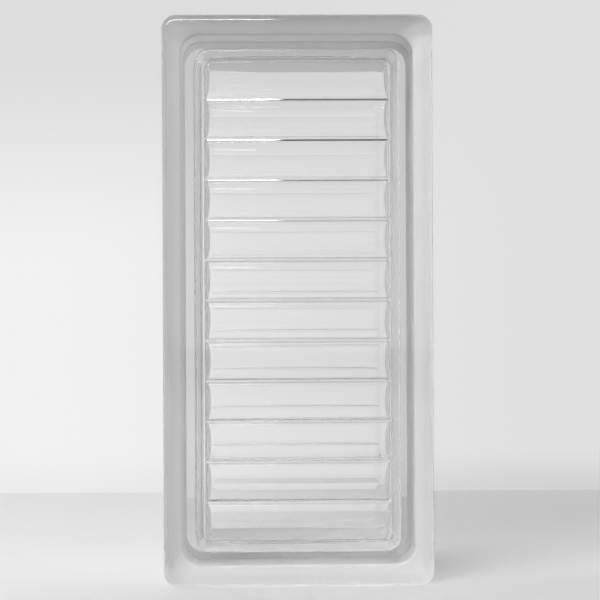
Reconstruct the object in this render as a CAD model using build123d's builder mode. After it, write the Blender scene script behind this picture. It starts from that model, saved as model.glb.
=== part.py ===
"""Hollow pressed-glass block, half-block format, standing on its short end.

Two pressed half shells are fused at mid-depth into one sealed body. The inner
surface of each face plate carries shallow horizontal flutes parted by sharp
little ridges, sunk in a panel inside a flat clear border. A mortar channel runs round
the four sides between the lips of the two faces, and the fused seam stands a
little proud in it.

Frame: +Z up, X across the width, front face towards -Y, millimetres.
Origin: centre of the base, on the level the block stands on.
"""

import os
from math import radians, sqrt, tan

from build123d import *

# Outside
block_width = 90.0
block_height = 190.0
block_depth = 80.0
corner_radius = 4.6  # corners of the face outline
face_edge_radius = 2.8  # from the face round into its lip
lip_length = 9.0  # from the face plane to where the side falls away
shoulder_length = 4.0  # run of the slope down to the channel floor
shoulder_radius = 1.5  # rounding at both ends of the slope
channel_depth = 6.0
channel_corner_radius = 6.5  # corners of the outline along the channel floor

# Hollow, as the pressing plunger leaves each half
plate_thickness = 8.6  # thinnest glass, at the middle of a flute
seam_wall = 3.6  # side wall at the seam, measured from the channel floor
wall_draft = 2.0  # degrees
hollow_corner_radius = 6.0  # corners of the hollow at the seam
plate_fillet_radius = 1.2  # from the side wall round into the plate

# Glass squeezed out along the fused seam
seam_width = 2.8
outer_seam_height = 0.7
inner_seam_height = 0.5
seam_crest_chamfer = 0.35

# Fluted panel in the inner surface of each plate
flute_count = 12
flute_pitch = 13.5
flute_radius = 50.0
ridge_width = 1.8
ridge_height = 0.73
ridge_crest_radius = 0.15
panel_width = 62.4
panel_sink = 1.4  # from the border round the panel to the deepest line of a flute
panel_slope = 60.0  # degrees that the panel's edge leans away from square
panel_corner_radius = 3.4

# Depths from the seam towards a face
face_depth = block_depth / 2
lip_depth = face_depth - lip_length
shoulder_depth = lip_depth - shoulder_length
flute_depth = face_depth - plate_thickness
border_depth = flute_depth - panel_sink
half_chord = (flute_pitch - ridge_width) / 2
ridge_foot_depth = flute_depth - flute_radius + sqrt(flute_radius**2 - half_chord**2)
ridge_crest_depth = ridge_foot_depth - ridge_height

# Outlines, seen from the front
channel_width = block_width - 2 * channel_depth
channel_height = block_height - 2 * channel_depth
hollow_width = channel_width - 2 * seam_wall
hollow_height = channel_height - 2 * seam_wall
panel_height = flute_count * flute_pitch

# Upright plane of the seam: X to the right, Z up, its normal towards the front face
seam_plane = Plane(origin=(0, 0, block_height / 2), x_dir=(1, 0, 0), z_dir=(0, -1, 0))
# Upright plane through the depth at mid-width, the front face towards its negative x
depth_plane = Plane(origin=(0, 0, block_height / 2), x_dir=(0, 1, 0), z_dir=(1, 0, 0))

# Outer form of the front half, without its hollow
with BuildPart() as outer_half:
    with BuildSketch(seam_plane):
        RectangleRounded(channel_width, channel_height, channel_corner_radius)
    extrude(amount=lip_depth)
    with BuildSketch(seam_plane.offset(shoulder_depth)):
        RectangleRounded(channel_width, channel_height, channel_corner_radius)
    with BuildSketch(seam_plane.offset(lip_depth)):
        RectangleRounded(block_width, block_height, corner_radius)
    loft(ruled=True)
    with BuildSketch(seam_plane.offset(lip_depth)):
        RectangleRounded(block_width, block_height, corner_radius)
    extrude(amount=lip_length)
    lip_edges = outer_half.edges().filter_by_position(Axis.Y, -lip_depth, -lip_depth)
    root_edges = outer_half.edges().filter_by_position(Axis.Y, -shoulder_depth, -shoulder_depth)
    fillet(lip_edges + root_edges, shoulder_radius)
    face_edges = outer_half.faces().sort_by(Axis.Y)[0].edges()
    fillet(face_edges, face_edge_radius)

# The plunger face that presses the flutes and ridges of one plate. Its foot starts
# inside the hollow, below the border, and its edge slopes in towards the face plate.
foot_depth = border_depth - panel_sink
foot_spread = (border_depth - foot_depth) * tan(radians(panel_slope))
foot_width = panel_width + 2 * foot_spread
foot_height = panel_height + 2 * foot_spread

with BuildPart() as fluted_panel:
    with BuildSketch(depth_plane):
        with BuildLine():
            for number in range(1, flute_count):
                ridge_middle = number * flute_pitch - panel_height / 2
                FilletPolyline(
                    (-ridge_foot_depth, ridge_middle - ridge_width / 2),
                    (-ridge_crest_depth, ridge_middle),
                    (-ridge_foot_depth, ridge_middle + ridge_width / 2),
                    radius=ridge_crest_radius,
                )
            for number in range(flute_count):
                flute_middle = (number + 0.5) * flute_pitch - panel_height / 2
                ThreePointArc(
                    (-ridge_foot_depth, flute_middle - half_chord),
                    (-flute_depth, flute_middle),
                    (-ridge_foot_depth, flute_middle + half_chord),
                )
            Polyline(
                (-ridge_foot_depth, (panel_height - ridge_width) / 2),
                (-ridge_foot_depth, foot_height / 2),
                (-foot_depth, foot_height / 2),
                (-foot_depth, -foot_height / 2),
                (-ridge_foot_depth, -foot_height / 2),
                (-ridge_foot_depth, -(panel_height - ridge_width) / 2),
            )
        make_face()
    extrude(amount=foot_width / 2, both=True)
    with BuildSketch(seam_plane.offset(foot_depth)) as panel_foot:
        RectangleRounded(foot_width, foot_height, panel_corner_radius + foot_spread)
    extrude(
        panel_foot.sketch,
        amount=flute_depth - foot_depth,
        taper=panel_slope,
        mode=Mode.INTERSECT,
    )

# The sealed space inside, both halves
with BuildPart() as hollow:
    with BuildSketch(seam_plane):
        RectangleRounded(hollow_width, hollow_height, hollow_corner_radius)
    extrude(amount=border_depth, taper=wall_draft)
    border_edges = hollow.faces().sort_by(Axis.Y)[0].edges()
    fillet(border_edges, plate_fillet_radius)
    add(fluted_panel.part)
    mirror(about=Plane.XZ)

# The squeezed-out glass along the seam, inside and out
with BuildPart() as seam_ring:
    with BuildSketch(seam_plane):
        RectangleRounded(
            channel_width + 2 * outer_seam_height,
            channel_height + 2 * outer_seam_height,
            channel_corner_radius + outer_seam_height,
        )
        RectangleRounded(
            hollow_width - 2 * inner_seam_height,
            hollow_height - 2 * inner_seam_height,
            hollow_corner_radius - inner_seam_height,
            mode=Mode.SUBTRACT,
        )
    extrude(amount=seam_width / 2, both=True)
    crest_edges = seam_ring.edges().group_by(Axis.Y)[0] + seam_ring.edges().group_by(Axis.Y)[-1]
    chamfer(crest_edges, seam_crest_chamfer)

with BuildPart() as glass_block:
    add(outer_half.part)
    mirror(about=Plane.XZ)
    add(hollow.part, mode=Mode.SUBTRACT)
    add(seam_ring.part)

glass_block.part.label = "glass_block"
os.makedirs("parts", exist_ok=True)
export_step(glass_block.part, "parts/glass_block.step")
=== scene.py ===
"""Looks of the hollow pressed-glass block: its glass body, its finish and the stage it stands on."""

import math

import bmesh
import bpy
from bpy.props import FloatProperty, FloatVectorProperty, IntProperty, PointerProperty
from bpy.types import Operator, Panel, PropertyGroup
from mathutils import Euler, Matrix, Vector


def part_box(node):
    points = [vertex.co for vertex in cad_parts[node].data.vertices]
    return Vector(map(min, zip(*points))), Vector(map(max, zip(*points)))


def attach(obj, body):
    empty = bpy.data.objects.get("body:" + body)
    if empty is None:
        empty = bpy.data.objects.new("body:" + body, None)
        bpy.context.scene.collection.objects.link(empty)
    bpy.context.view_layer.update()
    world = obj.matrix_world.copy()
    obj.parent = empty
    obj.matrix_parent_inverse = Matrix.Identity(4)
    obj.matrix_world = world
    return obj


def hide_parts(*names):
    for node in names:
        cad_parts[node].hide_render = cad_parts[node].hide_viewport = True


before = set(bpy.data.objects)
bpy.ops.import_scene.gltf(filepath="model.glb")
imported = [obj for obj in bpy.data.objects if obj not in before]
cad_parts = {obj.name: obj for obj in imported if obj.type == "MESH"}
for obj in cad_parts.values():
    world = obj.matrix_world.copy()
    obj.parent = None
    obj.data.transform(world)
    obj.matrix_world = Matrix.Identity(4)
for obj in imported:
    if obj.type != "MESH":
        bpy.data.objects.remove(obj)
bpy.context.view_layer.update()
block_low, block_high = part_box("glass_block")

bl_info = {
    "name": "Pressed glass block",
    "version": (1, 0, 0),
    "blender": (4, 5, 0),
    "location": "3D View > Sidebar > Glass Block",
    "description": "Builds the looks of a hollow pressed-glass block with fluted inner faces",
    "category": "Add Mesh",
}

MM = 0.001
MERGE = 1e-7  # closer vertices are the same vertex
GAP = 0.05 * MM  # between rings or rows that have to stay apart
FINE = 0.13 * MM  # rows on the panel's steep side
FLUTE_ROWS = 0.5 * MM  # rows across a flute
RIDGE_ROWS = 16  # rows across a ridge
COLUMNS = 8 * MM  # spacing along a flute, where nothing bends
CORNER_POINTS = 14  # on each plan corner
OUTER_STEPS = 12  # on a quarter turn of the outer section
INNER_STEPS = 16  # on a quarter turn of the inner section
FACE_RING = 1.0 * MM  # width of the flat ring that starts a face
LONG_EDGE = 10 * MM  # a ring's straight sides are longer than this
EDGE_CUTS = 60  # cuts in each of them, so that the fill has no slivers
block_size = block_high - block_low
block_middle = (block_high + block_low) / 2


def length(name, description, millimetres):
    """A size that a user may change, shown as a length."""
    return FloatProperty(
        name=name, description=description, default=millimetres * MM, min=0.0, precision=5,
        subtype="DISTANCE", unit="LENGTH",
    )


def share(name, description, default):
    """A plain number from 0 to 1."""
    return FloatProperty(name=name, description=description, default=default, min=0.0, max=1.0)


def level(name, description, default):
    """A brightness, where 1 is white, or a lamp's power in watts."""
    return FloatProperty(name=name, description=description, default=default, min=0.0)


class GlassOutside(PropertyGroup):
    """Sizes of the block's outside."""

    corner_radius: length("Corner radius", "Plan corners of the face", 4.6)
    face_edge_radius: length("Face edge radius", "From the face round into its lip", 2.8)
    lip_length: length("Lip length", "From the face to where the side falls away", 9.0)
    shoulder_length: length("Shoulder length", "Run of the slope down to the channel", 4.0)
    shoulder_radius: length("Shoulder radius", "Rounding at both ends of the slope", 1.5)
    channel_depth: length("Channel depth", "Depth of the mortar channel", 6.0)
    channel_corner_radius: length("Channel corner radius", "Plan corners along the channel", 6.5)
    seam_width: length("Seam width", "Width of the fused seam's bead", 2.8)
    seam_height: length("Seam height", "How far the bead stands out", 0.7)


class GlassHollow(PropertyGroup):
    """Sizes of the sealed space inside."""

    seam_wall: length("Seam wall", "Side wall at the seam, from the channel floor", 3.6)
    wall_draft: FloatProperty(
        name="Wall draft", description="Lean of the side walls", default=math.radians(2.0),
        subtype="ANGLE", unit="ROTATION",
    )
    corner_radius: length("Corner radius", "Plan corners at the seam", 6.0)
    plate_thickness: length("Plate thickness", "Thinnest glass of a face plate", 8.6)
    plate_fillet_radius: length("Plate fillet", "From the side wall round into the plate", 1.2)
    seam_height: length("Inner seam height", "How far the bead stands inwards", 0.5)
    border_fall: length("Border fall", "Fall of the border from the panel out to the wall", 0.3)
    border_flat: length("Border flat", "Flat part of the border, beside the panel", 0.4)


class FlutedPanel(PropertyGroup):
    """Sizes of the flutes pressed into the inner faces."""

    flute_count: IntProperty(name="Flutes", description="Flutes on each plate", default=12, min=1)
    flute_pitch: length("Flute pitch", "Height of one flute", 13.5)
    flute_radius: length("Flute radius", "Radius across a flute", 50.0)
    ridge_width: length("Ridge width", "Width of the ridge between two flutes", 1.8)
    ridge_height: length("Ridge height", "Height of that ridge", 0.73)
    ridge_crest_radius: length("Ridge crest radius", "Rounding along the ridge's crest", 0.15)
    panel_width: length("Panel width", "Length of the flutes, at the border", 62.4)
    panel_sink: length("Panel sink", "Depth of a flute below the border", 1.4)
    panel_slope: FloatProperty(
        name="Panel slope", description="Lean of the panel's edge, away from square",
        default=math.radians(60.0), subtype="ANGLE", unit="ROTATION",
    )
    panel_corner_radius: length("Panel corner radius", "Plan corners of the panel", 3.4)
    crease_radius: length("Crease radius", "Fire-polished softness of the creases", 0.15)


class GlassFinish(PropertyGroup):
    """Colour and finish of the glass."""

    tint: FloatVectorProperty(
        name="Tint", description="Colour of the clear glass", default=(0.985, 0.985, 0.985),
        subtype="COLOR", min=0.0, max=1.0,
    )
    refraction: FloatProperty(name="Refraction", description="Index of refraction", default=1.53)
    face_roughness: share("Face roughness", "Roughness of the fire-polished faces", 0.0)
    absorption: FloatProperty(
        name="Absorption", description="Light lost in each metre of glass", default=3.2, min=0.0
    )
    side_roughness: share("Side roughness", "Roughness of the glass at the satin sides", 0.5)
    side_colour: FloatVectorProperty(
        name="Side colour", description="Colour of the hazy sides", default=(0.8, 0.8, 0.8),
        subtype="COLOR", min=0.0, max=1.0,
    )
    # Painted light: the haze in the mortar channel is painted lighter than on the lips, to lift the
    # shade that the recess gets.
    channel_painted_light_colour: FloatVectorProperty(
        name="Channel colour", description="Colour of the haze in the channel",
        default=(0.89, 0.89, 0.89), subtype="COLOR", min=0.0, max=1.0,
    )
    side_cover: share("Side cover", "How much of the sides the haze covers", 0.85)
    inner_haze: share("Inner haze", "Haze on the hollow's walls, as a share of the sides'", 0.5)
    side_translucency: share("Side translucency", "Light that passes the haze", 0.45)
    shadow_share: share("Shadow light", "Light that the clear glass lets through to its shadow", 0.78)


class StageLook(PropertyGroup):
    """Camera, floor, backdrop and light."""

    camera_distance: length("Camera distance", "From the lens to the block's middle", 671.0)
    camera_aside: length("Camera aside", "How far left of the middle the camera stands", 11.0)
    camera_lens: FloatProperty(name="Lens", description="Focal length in millimetres", default=114.3)
    camera_aim: length("Camera aim", "How far right of the middle the camera looks", 1.3)
    camera_roll: FloatProperty(
        name="Camera roll", description="Lean of the picture", default=math.radians(0.25),
        subtype="ANGLE", unit="ROTATION",
    )
    wall_distance: length("Wall distance", "From the block's middle to the backdrop", 274.0)
    # The backdrop's glow carries painted light and shade: lighter at the left, where the light comes
    # from, darker to the right and upwards at the left.
    backdrop_left: level("Backdrop left", "Lightness of the backdrop to the left", 0.88)
    backdrop_right_painted_shade: level("Backdrop right", "Lightness of the backdrop to the right", 0.745)
    backdrop_painted_shade_above: level("Backdrop falloff", "How much darker it gets upwards at the left", 0.164)
    floor_lightness: level("Floor", "Lightness of the floor", 0.83)
    room_horizon: level("Room horizon", "Light from the sides", 0.85)
    room_overhead: level("Room overhead", "Light from above", 0.06)
    overhead_power: level("Softbox power", "Power of the large softbox above, in watts", 43.0)
    strip_power: level("Strip power", "Power of the narrow strip in front, in watts", 0.4)


class Socket:
    """A shader value that takes Python's arithmetic and turns it into Math nodes."""

    def __init__(self, tree, socket):
        self.tree = tree
        self.socket = socket

    def __add__(self, other):
        return self.tree.math("ADD", self, other)

    def __sub__(self, other):
        return self.tree.math("SUBTRACT", self, other)

    def __rsub__(self, other):
        return self.tree.math("SUBTRACT", other, self)

    def __mul__(self, other):
        return self.tree.math("MULTIPLY", self, other)

    __radd__ = __add__
    __rmul__ = __mul__


class Shading:
    """The node tree of a material, a world or a lamp, emptied and rebuilt."""

    def __init__(self, owner):
        owner.use_nodes = True
        self.nodes = owner.node_tree.nodes
        self.links = owner.node_tree.links
        self.nodes.clear()

    def add(self, kind, settings=None, inputs=None):
        """A node of that kind; its settings are set first, then its sockets' values or links."""
        node = self.nodes.new(kind)
        for name, value in (settings or {}).items():
            setattr(node, name, value)
        for name, value in (inputs or {}).items():
            if isinstance(value, Socket):
                self.links.new(value.socket, node.inputs[name])
            elif isinstance(value, bpy.types.NodeSocket):
                self.links.new(value, node.inputs[name])
            else:
                node.inputs[name].default_value = value
        return node

    def math(self, operation, first, second=0.0):
        """One Math node on two values."""
        node = self.add("ShaderNodeMath", {"operation": operation}, {0: first, 1: second})
        return Socket(self, node.outputs[0])

    def ramp(self, value, low, high):
        """0 below low and 1 above high, smooth between."""
        node = self.add(
            "ShaderNodeMapRange", {"interpolation_type": "SMOOTHSTEP"},
            {"Value": value, "From Min": low, "From Max": high},
        )
        return Socket(self, node.outputs["Result"])

    def position(self):
        """The place on the piece as X, Y and Z."""
        place = self.add("ShaderNodeTexCoord")
        parts = self.add("ShaderNodeSeparateXYZ", None, {0: place.outputs["Object"]})
        return [Socket(self, parts.outputs[axis]) for axis in range(3)]

    def noise(self, scale, detail):
        """Noise that stays put on the piece, around a half."""
        place = self.add("ShaderNodeTexCoord").outputs["Object"]
        node = self.add("ShaderNodeTexNoise", None, {"Vector": place, "Scale": scale, "Detail": detail})
        return Socket(self, node.outputs["Fac"])

    def blend(self, mask, first, second):
        """The first colour where the mask is 0 and the second where it is 1."""
        node = self.add(
            "ShaderNodeMix", {"data_type": "RGBA", "blend_type": "MIX"}, {0: mask, 6: first, 7: second}
        )
        return node.outputs[2]

    def layer(self, mask, first, second):
        """The first shader where the mask is 0 and the second where it is 1."""
        return self.add(
            "ShaderNodeMixShader", None, {0: mask, 1: first.outputs[0], 2: second.outputs[0]}
        )


def grey(value):
    """A neutral colour."""
    return (value, value, value, 1.0)


def new_piece(name, shape, material):
    """A finished mesh piece at the origin, smooth all over."""
    mesh = bpy.data.meshes.new(name)
    shape.to_mesh(mesh)
    shape.free()
    mesh.shade_smooth()
    mesh.materials.append(material)
    piece = bpy.data.objects.new(name, mesh)
    bpy.context.scene.collection.objects.link(piece)
    return piece


def join_into(shape, other):
    """Takes another bmesh's geometry into the shape, and frees the other."""
    held = bpy.data.meshes.new("held")
    other.to_mesh(held)
    other.free()
    shape.from_mesh(held)
    bpy.data.meshes.remove(held)


def rounded_section(corners, steps):
    """A section's points, from its corners rounded with true arcs.

    A corner is (inset from the outline, depth from the seam, plan radius, rounding), and a
    point is the first three of these.
    """
    places = [Vector(corner[:3]) for corner in corners]
    points = [places[0]]
    for before, here, after, corner in zip(places, places[1:], places[2:], corners[1:]):
        back = before - here
        onward = after - here
        turn = (-back).xy.angle(onward.xy)
        reach = corner[3] * math.tan(turn / 2)
        if reach == 0.0:
            points.append(here)
            continue
        start = here + back * (reach / back.xy.length)
        end = here + onward * (reach / onward.xy.length)
        pull = math.cos(turn / 2)
        count = max(2, round(steps * turn / (math.pi / 2)))
        for number in range(count + 1):
            share_done = number / count
            first, last = (1 - share_done) ** 2, share_done**2
            middle = 2 * share_done * (1 - share_done) * pull
            points.append((start * first + here * middle + end * last) / (first + middle + last))
    points.append(places[-1])
    return points


def lay_ring(ring, half_width, half_height, point):
    """Puts a ring's vertices on a rounded rectangle at the section point's inset and depth."""
    inset, depth, radius = point
    per_corner = len(ring) // 4
    for number, vertex in enumerate(ring):
        corner, step = divmod(number, per_corner)
        angle = math.pi / 2 * (corner + step / (per_corner - 1))
        side_x = 1 if corner in (0, 3) else -1
        side_z = 1 if corner in (0, 1) else -1
        vertex.co = (
            side_x * (half_width - inset - radius) + radius * math.cos(angle),
            -depth,
            side_z * (half_height - inset - radius) + radius * math.sin(angle),
        )


def carry_section(shape, half_width, half_height, section):
    """Carries a section round a rounded rectangle, ring by ring, and returns the first ring."""
    ring = bmesh.ops.create_circle(shape, segments=4 * CORNER_POINTS, radius=1.0)["verts"]
    edges = list(dict.fromkeys(edge for vertex in ring for edge in vertex.link_edges))
    lay_ring(ring, half_width, half_height, section[0])
    first = list(edges)
    order = {vertex: number for number, vertex in enumerate(ring)}
    for point in section[1:]:
        grown = bmesh.ops.extrude_edge_only(shape, edges=edges)["geom"]
        edges = [part for part in grown if isinstance(part, bmesh.types.BMEdge)]
        following = {}
        for vertex in (part for part in grown if isinstance(part, bmesh.types.BMVert)):
            for edge in vertex.link_edges:
                neighbour = edge.other_vert(vertex)
                if neighbour in order:
                    following[vertex] = order[neighbour]
        ring = sorted(following, key=following.get)
        edges = [edge for edge in edges if all(end in following for end in edge.verts)]
        lay_ring(ring, half_width, half_height, point)
        order = following
    return first


def mirrored_halves(shape):
    """Adds the back half by symmetry about the seam and closes the two together."""
    whole = list(shape.verts) + list(shape.edges) + list(shape.faces)
    bmesh.ops.mirror(shape, geom=whole, matrix=Matrix(), merge_dist=MERGE, axis="Y")
    bmesh.ops.remove_doubles(shape, verts=list(shape.verts), dist=MERGE)


def outer_shell(outside):
    """The block's outside: faces, lips, mortar channel and the bead of the fused seam."""
    half = block_size / 2
    lip_depth = half.y - outside.lip_length
    floor = outside.channel_depth
    bead = outside.seam_width / 2
    bead_foot = bead / 4
    bead_crest = bead / 2
    crest = floor - outside.seam_height
    edge = outside.face_edge_radius
    outline = outside.corner_radius
    channel = outside.channel_corner_radius
    section = rounded_section(
        [
            (edge + FACE_RING, half.y, outline - edge, 0.0),
            (edge + GAP, half.y, outline - edge, 0.0),
            (0.0, half.y, outline, edge),
            (0.0, lip_depth, outline, outside.shoulder_radius),
            (floor, lip_depth - outside.shoulder_length, channel, outside.shoulder_radius),
            (floor, bead, channel, bead_foot),
            (crest, bead, channel, bead_crest),
            (crest, 0.0, channel, 0.0),
        ],
        OUTER_STEPS,
    )
    shape = bmesh.new()
    first = carry_section(shape, half.x, half.z, section)
    bmesh.ops.edgeloop_fill(shape, edges=first)
    mirrored_halves(shape)
    bmesh.ops.recalc_face_normals(shape, faces=list(shape.faces))
    return shape


def flute_depth_at(height, panel, deepest):
    """Depth of the pressed flutes and ridges at a height from the block's middle."""
    half_chord = (panel.flute_pitch - panel.ridge_width) / 2
    along = (height / panel.flute_pitch + panel.flute_count / 2) % 1.0 - 0.5
    off_middle = abs(along) * panel.flute_pitch
    sag = panel.flute_radius - math.sqrt(panel.flute_radius**2 - min(off_middle, half_chord) ** 2)
    flank = panel.ridge_height * 2 / panel.ridge_width
    off_ridge = math.hypot(panel.flute_pitch / 2 - off_middle, panel.ridge_crest_radius * flank)
    return deepest - sag - max(panel.ridge_height - off_ridge * flank, 0.0)


def soft_low(first, second, softness):
    """The lower of two values, rounded where they cross."""
    gap = max(softness - abs(first - second), 0.0)
    return min(first, second) - gap * gap / (4 * softness)


def inward(across, height, half_width, half_height, radius):
    """Distance inside a rounded rectangle's outline, negative outside it."""
    beyond_x = abs(across) - (half_width - radius)
    beyond_z = abs(height) - (half_height - radius)
    outside = math.hypot(max(beyond_x, 0.0), max(beyond_z, 0.0))
    return radius - outside - min(max(beyond_x, beyond_z), 0.0)


def panel_side(into, run, sink):
    """How deep the panel's hollowed side is at a distance inside its outline, steepest there."""
    radius = (run**2 + sink**2) / (2 * sink)
    left = min(max(run - into, 0.0), run)
    onward = max(into - run, 0.0) / 2  # past its run it sinks on, clear of the flutes
    return math.sqrt(radius**2 - left**2) - radius + sink + onward


def stations(low, high, spacing):
    """Evenly spread places from low up to high, high left out."""
    count = max(1, round((high - low) / spacing))
    return [low + (high - low) * number / count for number in range(count)]


def apart(places, least):
    """The places in order, without any that lies closer than that to the one before."""
    kept = []
    for place in sorted(places):
        if not kept or place - kept[-1] > least:
            kept.append(place)
    return kept


def plate_inside(shape, panel, edge_x, edge_z, border_depth, deepest):
    """The fluted inner face of the front plate, cut into a mesh and sunk to its depth."""
    run = math.tan(panel.panel_slope) * panel.panel_sink
    half_width = panel.panel_width / 2
    half_height = panel.flute_count * panel.flute_pitch / 2
    half_ridge = panel.ridge_width / 2
    across = stations(half_width - run, half_width, FINE)
    across += stations(0.0, half_width - run, COLUMNS) + [half_width]
    heights = stations(half_height - run, half_height, FINE)
    heights += [-height for height in heights] + [half_height, -half_height]
    for number in range(panel.flute_count):
        flute = number * panel.flute_pitch - half_height
        heights += stations(flute + half_ridge, flute + panel.flute_pitch - half_ridge, FLUTE_ROWS)
        if number > 0:
            heights += stations(flute - half_ridge, flute + half_ridge, panel.ridge_width / RIDGE_ROWS)
    rectangle = bmesh.ops.create_grid(
        shape, x_segments=1, y_segments=1, size=1.0,
        matrix=Matrix.Rotation(math.pi / 2, 4, "X"),
    )["verts"]
    bmesh.ops.scale(shape, verts=rectangle, vec=(edge_x, 1.0, edge_z))
    for height in apart(heights, GAP):
        cut(shape, (0.0, 0.0, height), (0.0, 0.0, 1.0))
    for place in apart(across + [-place for place in across], GAP):
        cut(shape, (place, 0.0, 0.0), (1.0, 0.0, 0.0))
    beyond = []
    for vertex in shape.verts:
        into = inward(vertex.co.x, vertex.co.z, half_width, half_height, panel.panel_corner_radius)
        side = border_depth + panel_side(into, run, panel.panel_sink)
        pressed = soft_low(side, flute_depth_at(vertex.co.z, panel, deepest), panel.crease_radius)
        vertex.co.y = -max(border_depth, pressed) if into > 0.0 else -border_depth
        if into < -FINE:
            beyond.append(vertex)
    bmesh.ops.delete(shape, geom=beyond, context="VERTS")


def cut(shape, place, normal):
    """One straight loop cut across the whole shape."""
    everything = list(shape.verts) + list(shape.edges) + list(shape.faces)
    bmesh.ops.bisect_plane(shape, geom=everything, dist=MERGE, plane_co=place, plane_no=normal)


def inner_shell(outside, hollow, panel):
    """The sealed hollow: side walls, seam bead and the two fluted plates."""
    half = block_size / 2
    wall = outside.channel_depth + hollow.seam_wall
    half_width = half.x - wall
    half_height = half.z - wall
    deepest = half.y - hollow.plate_thickness
    border_depth = deepest - panel.panel_sink
    bead = outside.seam_width / 2
    bead_foot = bead / 4
    bead_crest = bead / 3
    slope = math.tan(hollow.wall_draft)
    wall_end = border_depth - hollow.border_fall
    lean = wall_end * slope
    rounding = hollow.plate_fillet_radius
    plan = hollow.corner_radius
    flat_inset = half_width - panel.panel_width / 2 - hollow.border_flat
    flat_corner = panel.panel_corner_radius + hollow.border_flat
    section = rounded_section(
        [
            (flat_inset, border_depth, flat_corner, 0.0),
            (flat_inset - hollow.border_flat / 2, border_depth, flat_corner, 2 * rounding),
            (lean, wall_end, plan - lean, rounding),
            (bead * slope, bead, plan, bead_foot),
            (hollow.seam_height, bead, plan, bead_crest),
            (hollow.seam_height, 0.0, plan, 0.0),
        ],
        INNER_STEPS,
    )
    shape = bmesh.new()
    rim = carry_section(shape, half_width, half_height, section)
    straight = [edge for edge in rim if edge.calc_length() > LONG_EDGE]
    bmesh.ops.subdivide_edges(shape, edges=straight, cuts=EDGE_CUTS)
    rim = [edge for edge in shape.edges if edge.is_boundary and edge.verts[0].co.y < -bead]
    plate = bmesh.new()
    edge_x = panel.panel_width / 2 + GAP
    edge_z = panel.flute_count * panel.flute_pitch / 2 + GAP
    plate_inside(plate, panel, edge_x, edge_z, border_depth, deepest)
    before = set(shape.edges)
    join_into(shape, plate)
    rim += [edge for edge in shape.edges if edge not in before and edge.is_boundary]
    bmesh.ops.triangle_fill(shape, use_beauty=True, edges=rim, normal=(0.0, -1.0, 0.0))
    mirrored_halves(shape)
    bmesh.ops.recalc_face_normals(shape, faces=list(shape.faces))
    bmesh.ops.reverse_faces(shape, faces=list(shape.faces))
    return shape


GRAIN_SCALE = 1400.0
GRAIN_DETAIL = 3.0
GRAIN_STRENGTH = 0.35
GRAIN_HEIGHT = 0.1 * MM
CLOUD_SCALE = 60.0
CLOUD_DETAIL = 4.0
MOTTLE_LEAST = 0.8  # share of the haze's own colour where both noises are at their least
MOTTLE_GRAIN = 0.2
MOTTLE_CLOUD = 0.15
MOTTLE_DARK = 0.5  # grey that shows where the haze is thin
HAZE_ROUGHNESS = 0.7
SIDE_SHADE = 0.5  # how much of the shadow light the hazy sides hold back


def side_masks(shading, outside, hollow, inner_haze):
    """Where the satin haze lies, on the outer sides and the hollow's walls, and where a lip is, which
    bounds the painted light of the channel's haze.
    """
    x, y, z = shading.position()
    half = block_size / 2
    soft_edge = 2.0 * MM
    clear_rim = 4.0 * MM  # the haze is full this far behind the face
    lip_skin = 2.0 * MM  # what lies this near the outline is a lip's; further in, the channel's haze is painted lighter, as painted light
    clear_corner = 3.4 * MM  # the hollow's walls are clear this close to the flutes
    slack = 0.3 * MM
    outer_share = 0.8  # share of the wall's thickness that counts as the outer side
    outer_skin = outside.channel_depth + outer_share * hollow.seam_wall
    plates = half.y - hollow.plate_thickness - clear_corner
    lean = plates * math.tan(hollow.wall_draft)
    inner_skin = outside.channel_depth + hollow.seam_wall + lean + slack

    def beyond(inset, width):
        """1 on what lies less than the inset inside the block's outline, 0 within."""
        across = shading.math("ABSOLUTE", x)
        upright = shading.math("ABSOLUTE", z - block_middle.z)
        return shading.math(
            "MAXIMUM",
            shading.ramp(across, half.x - inset - width, half.x - inset),
            shading.ramp(upright, half.z - inset - width, half.z - inset),
        )

    def nearer(depth, width):
        """1 on what lies nearer to the seam than the depth, 0 towards the faces."""
        return 1.0 - shading.ramp(shading.math("ABSOLUTE", y), depth, depth + width)

    outer_sides = beyond(outer_skin, GAP) * nearer(half.y - clear_rim, soft_edge)
    inner_sides = beyond(inner_skin, GAP) * nearer(plates, GAP) * inner_haze
    return shading.math("MAXIMUM", outer_sides, inner_sides), beyond(lip_skin, soft_edge)


def satin_haze(shading, lip, finish):
    """The pale, finely grained haze of the sides, painted lighter in the channel than on the lips:
    painted light that lifts the recess's shade.
    """
    grain = shading.noise(GRAIN_SCALE, GRAIN_DETAIL)
    cloud = shading.noise(CLOUD_SCALE, CLOUD_DETAIL)
    even = MOTTLE_LEAST + grain * MOTTLE_GRAIN + cloud * MOTTLE_CLOUD
    mottle = shading.math("MINIMUM", even, 1.0)
    # Painted light: the channel's haze is lighter than the lips', where the recess would otherwise be
    # in shade.
    satin = shading.blend(lip, (*finish.channel_painted_light_colour, 1.0), (*finish.side_colour, 1.0))
    rough = shading.add(
        "ShaderNodeBump", None,
        {"Height": grain.socket, "Strength": GRAIN_STRENGTH, "Distance": GRAIN_HEIGHT},
    )
    haze = shading.add(
        "ShaderNodeBsdfPrincipled", None,
        {
            "Base Color": shading.blend(mottle, grey(MOTTLE_DARK), satin),
            "Roughness": HAZE_ROUGHNESS,
            "Specular IOR Level": 0.0,
            "Normal": rough.outputs[0],
        },
    )
    through = shading.add("ShaderNodeBsdfTranslucent", None, {"Color": (*finish.side_colour, 1.0)})
    return shading.layer(finish.side_translucency, haze, through)


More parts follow.
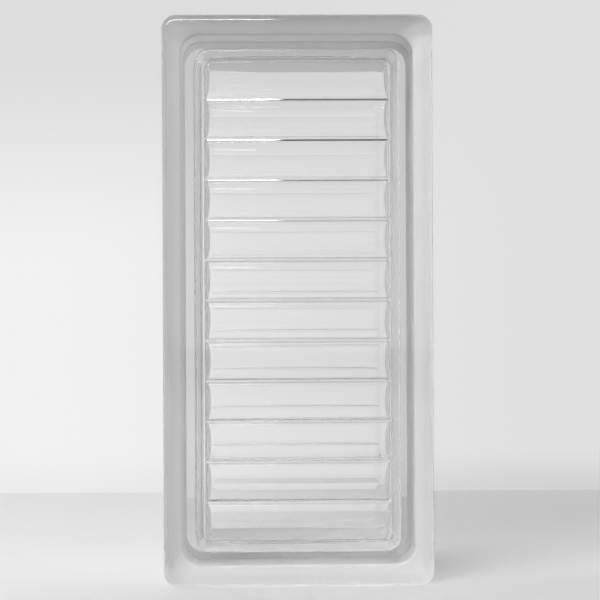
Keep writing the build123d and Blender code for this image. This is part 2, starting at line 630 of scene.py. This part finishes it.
def glass_material(outside, hollow, finish):
    """Clear pressed glass: polished faces, satin sides."""
    material = bpy.data.materials.new("pressed_glass")
    shading = Shading(material)
    side, lip = side_masks(shading, outside, hollow, finish.inner_haze)
    roughening = finish.side_roughness - finish.face_roughness
    glass = shading.add(
        "ShaderNodeBsdfPrincipled", None,
        {
            "Base Color": (*finish.tint, 1.0),
            "Roughness": side * roughening + finish.face_roughness,
            "IOR": finish.refraction,
            "Transmission Weight": 1.0,
        },
    )
    seen = shading.layer(side * finish.side_cover, glass, satin_haze(shading, lip, finish))
    shadow = Socket(shading, shading.add("ShaderNodeLightPath").outputs["Is Shadow Ray"])
    passed = shadow * (1.0 - side * SIDE_SHADE) * finish.shadow_share
    whole = shading.layer(passed, seen, shading.add("ShaderNodeBsdfTransparent"))
    inside = shading.add(
        "ShaderNodeVolumeAbsorption", None, {"Color": grey(0.0), "Density": finish.absorption}
    )
    shading.add(
        "ShaderNodeOutputMaterial", None,
        {"Surface": whole.outputs[0], "Volume": inside.outputs[0]},
    )
    return material


class GLASSBLOCK_OT_body(Operator):
    """Builds the glass body with its sealed hollow"""

    bl_idname = "glassblock.body"
    bl_label = "Glass body"

    def execute(self, context):
        scene = context.scene
        shape = outer_shell(scene.glass_outside)
        inside = inner_shell(scene.glass_outside, scene.glass_hollow, scene.fluted_panel)
        join_into(shape, inside)
        bmesh.ops.translate(shape, verts=list(shape.verts), vec=block_middle)
        glass = glass_material(scene.glass_outside, scene.glass_hollow, scene.glass_finish)
        body = new_piece("pressed_glass_block", shape, glass)
        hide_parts("glass_block")
        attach(body, "root")
        return {"FINISHED"}


STAGE_WIDTH = 6.0
BACKDROP_HEIGHT = 1.2
FLOOR_ROUGHNESS = 0.8
SHADE_LEFT, SHADE_RIGHT = -0.12, 0.14  # painted shade: the backdrop darkens from here to there, away from the light at the left
FALLOFF_LOW, FALLOFF_HIGH = 0.11, 0.23  # and painted shade darkens its left part upwards over these heights
FOOT_HEIGHT = 0.022  # of the painted shade, a darker line, along the backdrop's foot
FOOT_SHADE = 0.04
FOOT_SHADE_RIGHT = 0.06  # more of that painted shade at the right
OVERHEAD_FROM, OVERHEAD_TO = 0.16, 0.38  # how steeply up the room darkens
SOFTBOX_SIZE = (1.6, 0.24)
SOFTBOX_PLACE = (-0.789, -1.07, 0.995)
SOFTBOX_TILT = math.radians(50.0)
SOFTBOX_FADE = (0.02, 0.9)  # shares of its width and its depth over which it fades
STRIP_SIZE = (1.0, 0.03)
STRIP_ASIDE = -0.511
STRIP_DISTANCE = 1.3
STRIP_RISE = math.radians(16.0)  # seen from the block's middle
STRIP_FADE = (0.02, 0.3)


def flat_stage(name, size, place, turn, material):
    """A plain stage panel, faced up before it is turned."""
    shape = bmesh.new()
    tilt = Euler(turn).to_matrix().to_4x4()
    stretch = Matrix.Diagonal((*size, 1.0, 1.0))
    bmesh.ops.create_grid(
        shape, x_segments=1, y_segments=1, size=0.5,
        matrix=Matrix.Translation(place) @ tilt @ stretch,
    )
    new_piece(name, shape, material)


def floor_material(look):
    """Plain pale matt floor."""
    material = bpy.data.materials.new("floor_matt")
    shading = Shading(material)
    paint = shading.add(
        "ShaderNodeBsdfPrincipled", None,
        {"Base Color": grey(look.floor_lightness), "Roughness": FLOOR_ROUGHNESS},
    )
    shading.add("ShaderNodeOutputMaterial", None, {"Surface": paint.outputs[0]})
    return material


def backdrop_material(look):
    """Pale backdrop at a set lightness, with painted light and shade over it: lighter at the left,
    darker to the right, upwards at the left and along its foot; see-through from behind.
    """
    material = bpy.data.materials.new("backdrop_matt")
    shading = Shading(material)
    x, _, z = shading.position()
    aside = shading.ramp(x, SHADE_LEFT, SHADE_RIGHT)
    # Painted light and shade: lighter at the left, where the light comes from, darker to the right.
    lightness = look.backdrop_left + aside * (look.backdrop_right_painted_shade - look.backdrop_left)
    # Painted shade: darker upwards at the left and in a line along the foot.
    falloff = shading.ramp(z, FALLOFF_LOW, FALLOFF_HIGH) * look.backdrop_painted_shade_above * (1.0 - aside)
    foot = (1.0 - shading.ramp(z, 0.0, FOOT_HEIGHT)) * (aside * FOOT_SHADE_RIGHT + FOOT_SHADE)
    glow = shading.add(
        "ShaderNodeEmission", None, {"Color": grey(1.0), "Strength": lightness - (falloff + foot)}
    )
    paint = shading.add("ShaderNodeBsdfDiffuse", None, {"Color": grey(look.backdrop_left)})
    path = shading.add("ShaderNodeLightPath").outputs
    seen = Socket(shading, path["Is Camera Ray"]) + Socket(shading, path["Is Glossy Ray"])
    seen = seen + Socket(shading, path["Is Transmission Ray"])
    seen = shading.math("MINIMUM", seen, 1.0)
    front = shading.layer(seen, paint, glow)
    behind = shading.add("ShaderNodeNewGeometry").outputs["Backfacing"]
    whole = shading.layer(behind, front, shading.add("ShaderNodeBsdfTransparent"))
    shading.add("ShaderNodeOutputMaterial", None, {"Surface": whole.outputs[0]})
    return material


def room_world(look):
    """Light from all round: pale towards the horizon, darker overhead."""
    world = bpy.data.worlds.new("room")
    shading = Shading(world)
    place = shading.add("ShaderNodeTexCoord").outputs["Generated"]
    parts = shading.add("ShaderNodeSeparateXYZ", None, {0: place}).outputs
    high = shading.ramp(Socket(shading, parts["Z"]), OVERHEAD_FROM, OVERHEAD_TO)
    strength = look.room_horizon + high * (look.room_overhead - look.room_horizon)
    light = shading.add("ShaderNodeBackground", None, {"Color": grey(1.0), "Strength": strength})
    shading.add("ShaderNodeOutputWorld", None, {"Surface": light.outputs[0]})
    return world


def soft_lamp(name, size, place, tilt, power, fade):
    """A rectangular area lamp, facing down before its tilt, that fades at two of its edges."""
    light = bpy.data.lights.new(name, "AREA")
    light.shape = "RECTANGLE"
    light.size, light.size_y = size
    light.energy = power
    shading = Shading(light)
    across = shading.add("ShaderNodeNewGeometry").outputs["Parametric"]
    parts = shading.add("ShaderNodeSeparateXYZ", None, {0: across}).outputs
    right = shading.ramp(1.0 - Socket(shading, parts["X"]), 0.0, fade[0])
    low = shading.ramp(Socket(shading, parts["Y"]), 0.0, fade[1])
    glow = shading.add("ShaderNodeEmission", None, {"Strength": right * low})
    shading.add("ShaderNodeOutputLight", None, {"Surface": glow.outputs[0]})
    lamp = bpy.data.objects.new(name, light)
    lamp.location = place
    lamp.rotation_euler = (tilt, 0.0, 0.0)
    bpy.context.scene.collection.objects.link(lamp)


class GLASSBLOCK_OT_stage(Operator):
    """Sets up the floor, backdrop, light and camera"""

    bl_idname = "glassblock.stage"
    bl_label = "Stage"

    def execute(self, context):
        scene = context.scene
        look = scene.stage_look
        flat_stage(
            "floor", (STAGE_WIDTH, STAGE_WIDTH), (0.0, 0.0, 0.0), (0.0, 0.0, 0.0),
            floor_material(look),
        )
        flat_stage(
            "backdrop", (STAGE_WIDTH, BACKDROP_HEIGHT), (0.0, look.wall_distance, BACKDROP_HEIGHT / 2),
            (math.pi / 2, 0.0, 0.0), backdrop_material(look),
        )
        scene.world = room_world(look)
        soft_lamp(
            "softbox", SOFTBOX_SIZE, SOFTBOX_PLACE, SOFTBOX_TILT, look.overhead_power, SOFTBOX_FADE
        )
        strip_height = block_middle.z + STRIP_DISTANCE * math.tan(STRIP_RISE)
        soft_lamp(
            "strip", STRIP_SIZE, (STRIP_ASIDE, -STRIP_DISTANCE, strip_height),
            math.pi / 2 - STRIP_RISE, look.strip_power, STRIP_FADE,
        )
        camera = bpy.data.objects.new("camera", bpy.data.cameras.new("camera"))
        camera.data.lens = look.camera_lens
        camera.location = (-look.camera_aside, -look.camera_distance, block_middle.z)
        target = block_middle + Vector((look.camera_aim, 0.0, 0.0))
        aim = (target - camera.location).to_track_quat("-Z", "Y").to_matrix()
        camera.rotation_euler = (aim @ Matrix.Rotation(-look.camera_roll, 3, "Z")).to_euler()
        scene.collection.objects.link(camera)
        scene.camera = camera
        scene.view_settings.view_transform = "Standard"
        return {"FINISHED"}


class GLASSBLOCK_PT_sidebar(Panel):
    """Lists the block's sizes, finish and stage"""

    bl_idname = "GLASSBLOCK_PT_sidebar"
    bl_label = "Glass Block"
    bl_space_type = "VIEW_3D"
    bl_region_type = "UI"
    bl_category = "Glass Block"

    def draw(self, context):
        for group_name in SETTINGS:
            group = getattr(context.scene, group_name)
            box = self.layout.box()
            for setting in group.bl_rna.properties:
                if setting.identifier not in ("rna_type", "name"):
                    box.prop(group, setting.identifier)
        self.layout.operator("glassblock.body")
        self.layout.operator("glassblock.stage")


SETTINGS = {
    "glass_outside": GlassOutside,
    "glass_hollow": GlassHollow,
    "fluted_panel": FlutedPanel,
    "glass_finish": GlassFinish,
    "stage_look": StageLook,
}
CLASSES = (*SETTINGS.values(), GLASSBLOCK_OT_body, GLASSBLOCK_OT_stage, GLASSBLOCK_PT_sidebar)


def register():
    """Adds the classes and the scene's settings."""
    for added in CLASSES:
        bpy.utils.register_class(added)
    for name, group in SETTINGS.items():
        setattr(bpy.types.Scene, name, PointerProperty(type=group))


def unregister():
    """Takes the settings and the classes away again."""
    for name in SETTINGS:
        delattr(bpy.types.Scene, name)
    for added in reversed(CLASSES):
        bpy.utils.unregister_class(added)


def main():
    """Builds the block and its stage."""
    register()
    bpy.ops.glassblock.body()
    bpy.ops.glassblock.stage()


if __name__ == "__main__":
    main()
